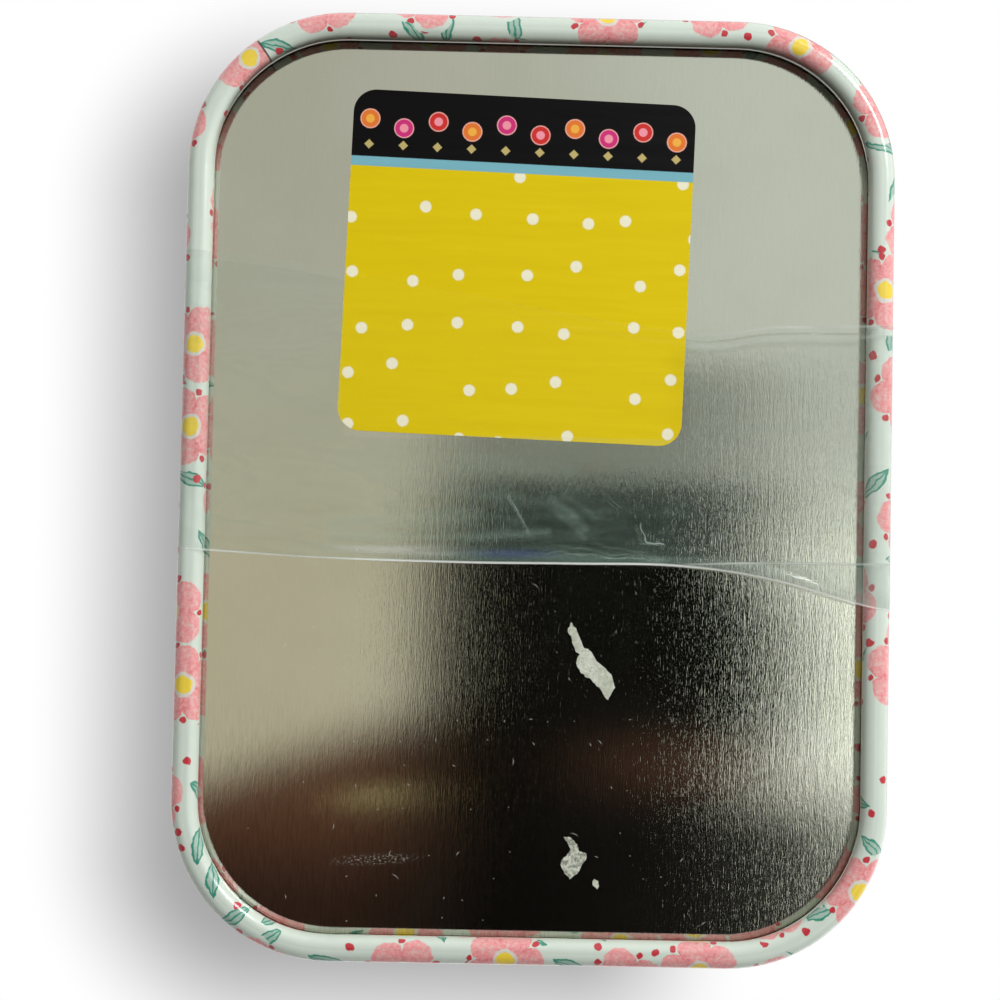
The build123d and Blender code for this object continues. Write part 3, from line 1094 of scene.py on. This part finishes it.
def floor_material():
    """Pale floor seen from above only; the lamp below reaches the tin's underside through it."""
    material, tree, place = new_material("pale floor")
    camera, glossy = light_path(tree, "Camera", "Glossy")
    inside = outline_parts(place)[-1]
    under = inside > glossy * 0.9 - 0.1
    clear = larger(back_side(tree), under * (1.0 - camera))
    colour = place.noise(0.01, 2.0).mix(linear(244, 244, 243), linear(248, 248, 247))

    # Far from the tin the floor runs out into the white of the room
    far = larger(camera, glossy) * inside.ramp(-40.0, -260.0)
    shade = shader(tree, "ShaderNodeBsdfDiffuse", Color=colour)
    lit = mix_shaders(tree, far, shade, shader(tree, "ShaderNodeEmission"))
    show(tree, mix_shaders(tree, clear, lit, shader(tree, "ShaderNodeBsdfTransparent")))
    return material


def ground_shadow_material(camera, height):
    """Soft shadow on the white ground that the tin lies on in the photograph, seen from below only."""
    material, tree, place = new_material("ground shadow")
    shrink = (BEAD - camera.z / MM) / (height - camera.z / MM)
    stay = (camera.x / MM * (1 - shrink), camera.y / MM * (1 - shrink), 0.0)
    shifted = place * ((shrink,) * 3) + stay - SHADOW_SHIFT
    shade = outline_parts(shifted)[-1].ramp(-SHADOW_BLUR, SHADOW_BLUR)
    shade = shade * shifted.split()[1].ramp(-32.0, -12.0)
    light = (shade * 0.6).mix((1, 1, 1), (0, 0, 0))
    seen = light_path(tree, "Camera")[0] * (1.0 - back_side(tree))
    glow = shader(tree, "ShaderNodeEmission", Color=light)
    show(tree, mix_shaders(tree, seen, shader(tree, "ShaderNodeBsdfTransparent"), glow))
    return material


def card_material(camera, height):
    """What the bare base plate mirrors: a pale room with a dark and a brown shape in front of it."""
    material, tree, place = new_material("room card")
    ratio = (height + PANEL_Z) / (-camera.z / MM + PANEL_Z)
    middle = (ratio * camera.x / MM / (1 + ratio), ratio * camera.y / MM / (1 + ratio), 0.0)
    panel = place * ((1 / (1 + ratio),) * 3) + middle
    down, left = panel.split()[:2]
    right = -left
    left_tone = down.ramp(-35.0, 15.0).mix(linear(191, 191, 180), linear(197, 191, 167))
    right_tone = down.ramp(-8.0, 16.0).mix(linear(214, 220, 212), linear(250, 255, 244))
    pale = right.ramp(-26.0, 36.0).mix(left_tone, right_tone)

    # The dark shape, with a greyer step along its top
    side = down.ramp(-5.0, 1.0, 0.0, 1.1) + down.ramp(7.5, 15.5, 0.0, 3.8)
    side = side - down.ramp(22.5, 27.5, 0.0, 1.7)
    left_side = right - down.ramp(1.0, 8.0, 1.8, 0.0)
    dark = left_side.ramp(-15.0, -7.5) * (right - side).ramp(25.2, 28.8, 1.0, 0.0)
    depth = larger(down.ramp(-16.5, -11.5) * 0.61, down.ramp(-3.9, 0.3))
    colour = (dark * depth).mix(pale, linear(9, 9, 7))
    slope = down - right * 0.5
    slope = slope - right.ramp(26.0, 33.0, 0.0, 3.4) + right.ramp(33.0, 42.0, 0.0, 9.0)
    foot = slope.ramp(12.8, 18.2) * right.ramp(0.0, 12.0) * right.ramp(46.0, 39.0)
    rows = down.ramp(24.5, 29.0) * down.ramp(35.5, 29.5)
    foot_brown = rows * right.ramp(22.0, 30.0)
    foot_tone = foot_brown.mix(linear(22, 20, 18), linear(80, 55, 44))
    colour = (foot * 0.95).mix(colour, foot_tone)

    # Brown shapes below it
    brown = (right * 0.34 + down).ramp(17.2, 24.5) * right.ramp(1.0, -12.0)
    brown_tone = down.ramp(33.0, 46.0).mix(linear(94, 62, 46), linear(50, 34, 27))
    brown_tone = right.ramp(-22.0, -4.0).mix(brown_tone, linear(16, 13, 11))
    colour = brown.mix(colour, brown_tone)
    glint = combine((right + 15.6) / 5.0, (right * 0.18 + down - 30.8) / 1.6).length()
    colour = glint.ramp(0.2, 1.2, 0.86, 0.0).mix(colour, linear(168, 156, 112))
    band = rows * right.ramp(2.0, 18.0) * right.ramp(31.0, 24.0)
    colour = (band * 0.9).mix(colour, linear(80, 55, 44))

    # Brighter at the window's side
    window = right.ramp(22.0, 31.0) * down.ramp(-8.0, 10.0)
    show(tree, shader(tree, "ShaderNodeEmission", Color=colour, Strength=window * 0.42 + 1.0))
    return material


def area_lamp(name, place, target, size, power):
    """A soft square lamp aimed at a point."""
    data = bpy.data.lights.new(name, "AREA")
    data.shape = "SQUARE"
    data.size = size
    data.energy = power
    lamp = bpy.data.objects.new(name, data)
    bpy.context.scene.collection.objects.link(lamp)
    lamp.location = place
    aim = Vector(target) - Vector(place)
    lamp.rotation_euler = aim.to_track_quat("-Z", "Y").to_euler()
    lamp.visible_camera = False


def make_world(fill):
    """White to the camera, paler in reflections; its light is softer, and stronger from the lamp's side."""
    world = bpy.data.worlds.new("studio")
    bpy.context.scene.world = world
    world.use_nodes = True
    tree = world.node_tree
    tree.nodes.clear()
    camera, transmitted, glossy = light_path(tree, "Camera", "Transmission", "Glossy")
    direction = Place(tree, add(tree, "ShaderNodeTexCoord").outputs["Generated"])
    east, up = direction.split()[::2]
    dim = up.ramp(-0.15, -0.35) * east.ramp(0.05, 0.4)
    mirrored = glossy * up.ramp(-0.12, 0.5, 0.9, 0.5) * (1.0 - dim * 0.75)
    soft = direction.dot((-0.55, -0.6, 0.0)).ramp(-0.7, 0.75, 0.3 * fill, 2.1 * fill)
    strength = larger(camera, transmitted, mirrored, soft)
    light = shader(tree, "ShaderNodeBackground", Color=(1, 1, 1), Strength=strength)
    feed(tree, light, add(tree, "ShaderNodeOutputWorld").inputs["Surface"])


class TIN_OT_stage(bpy.types.Operator):
    """Set the floor, the lamps, the world and the camera"""

    bl_idname = "tin.stage"
    bl_label = "Stage and camera"

    def execute(self, context):
        settings = context.scene.tin_stage
        place = Vector(settings.place)
        floor = stage_plane("floor", FLOOR_SIZE, 0.0)
        set_material(floor, floor_material())

        ground = stage_plane("white_ground", GROUND_SIZE, GROUND_Z * MM)
        select_only(ground)
        bpy.ops.object.mode_set(mode="EDIT")
        bpy.ops.mesh.select_all(action="SELECT")
        bpy.ops.mesh.flip_normals()
        bpy.ops.object.mode_set(mode="OBJECT")
        set_material(ground, ground_shadow_material(place, GROUND_Z))
        for kind in ("shadow", "diffuse", "glossy"):
            setattr(ground, "visible_" + kind, False)

        card = stage_plane("room_card", CARD_SIZE, -CARD_Z * MM)
        set_material(card, card_material(place, CARD_Z))
        for kind in ("camera", "diffuse", "shadow", "transmission"):
            setattr(card, "visible_" + kind, False)

        area_lamp("key_below", (-0.24, -0.26, -0.34), (0, 0, 0), KEY_SIZE, settings.key)
        area_lamp("top_front", (0.35, -0.55, 0.75), (0, 0, 0.01), TOP_SIZE, settings.top)
        area_lamp("top_rear", (-0.45, 0.45, 0.7), (0, 0, 0.01), TOP_SIZE, settings.top * 0.5)
        make_world(settings.fill)

        data = bpy.data.cameras.new("camera")
        data.lens = settings.lens
        data.sensor_width = 36
        data.sensor_fit = "HORIZONTAL"
        data.clip_start = 0.01
        camera = bpy.data.objects.new("camera", data)
        context.scene.collection.objects.link(camera)
        camera.location = place
        camera.rotation_euler = settings.turn
        context.scene.camera = camera
        context.scene.view_settings.view_transform = "Standard"
        return {"FINISHED"}


OPERATORS = (
    TIN_OT_body, TIN_OT_lid, TIN_OT_base, TIN_OT_hinge,
    TIN_OT_sticker, TIN_OT_film, TIN_OT_paper, TIN_OT_stage,
)


class TIN_PT_panel(bpy.types.Panel):
    """Pieces and stage of the storage tin"""

    bl_idname = "TIN_PT_panel"
    bl_label = "Storage tin"
    bl_space_type = "VIEW_3D"
    bl_region_type = "UI"
    bl_category = "Tin"

    def draw(self, context):
        for kind in OPERATORS:
            self.layout.operator(kind.bl_idname)


SETTINGS = (
    ("tin_print", PrintSettings),
    ("tin_metal", MetalSettings),
    ("tin_sticker", StickerSettings),
    ("tin_film", FilmSettings),
    ("tin_stage", StageSettings),
)


def register():
    for name, kind in SETTINGS:
        bpy.utils.register_class(kind)
        setattr(bpy.types.Scene, name, bpy.props.PointerProperty(type=kind))
    for kind in OPERATORS + (TIN_PT_panel,):
        bpy.utils.register_class(kind)


def unregister():
    for kind in reversed(OPERATORS + (TIN_PT_panel,)):
        bpy.utils.unregister_class(kind)
    for name, kind in reversed(SETTINGS):
        delattr(bpy.types.Scene, name)
        bpy.utils.unregister_class(kind)


def main():
    """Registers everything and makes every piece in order."""
    register()
    bpy.ops.tin.body()
    bpy.ops.tin.lid()
    bpy.ops.tin.base()
    bpy.ops.tin.hinge()
    bpy.ops.tin.sticker()
    bpy.ops.tin.film()
    bpy.ops.tin.paper()
    bpy.ops.tin.stage()


if __name__ == "__main__":
    main()
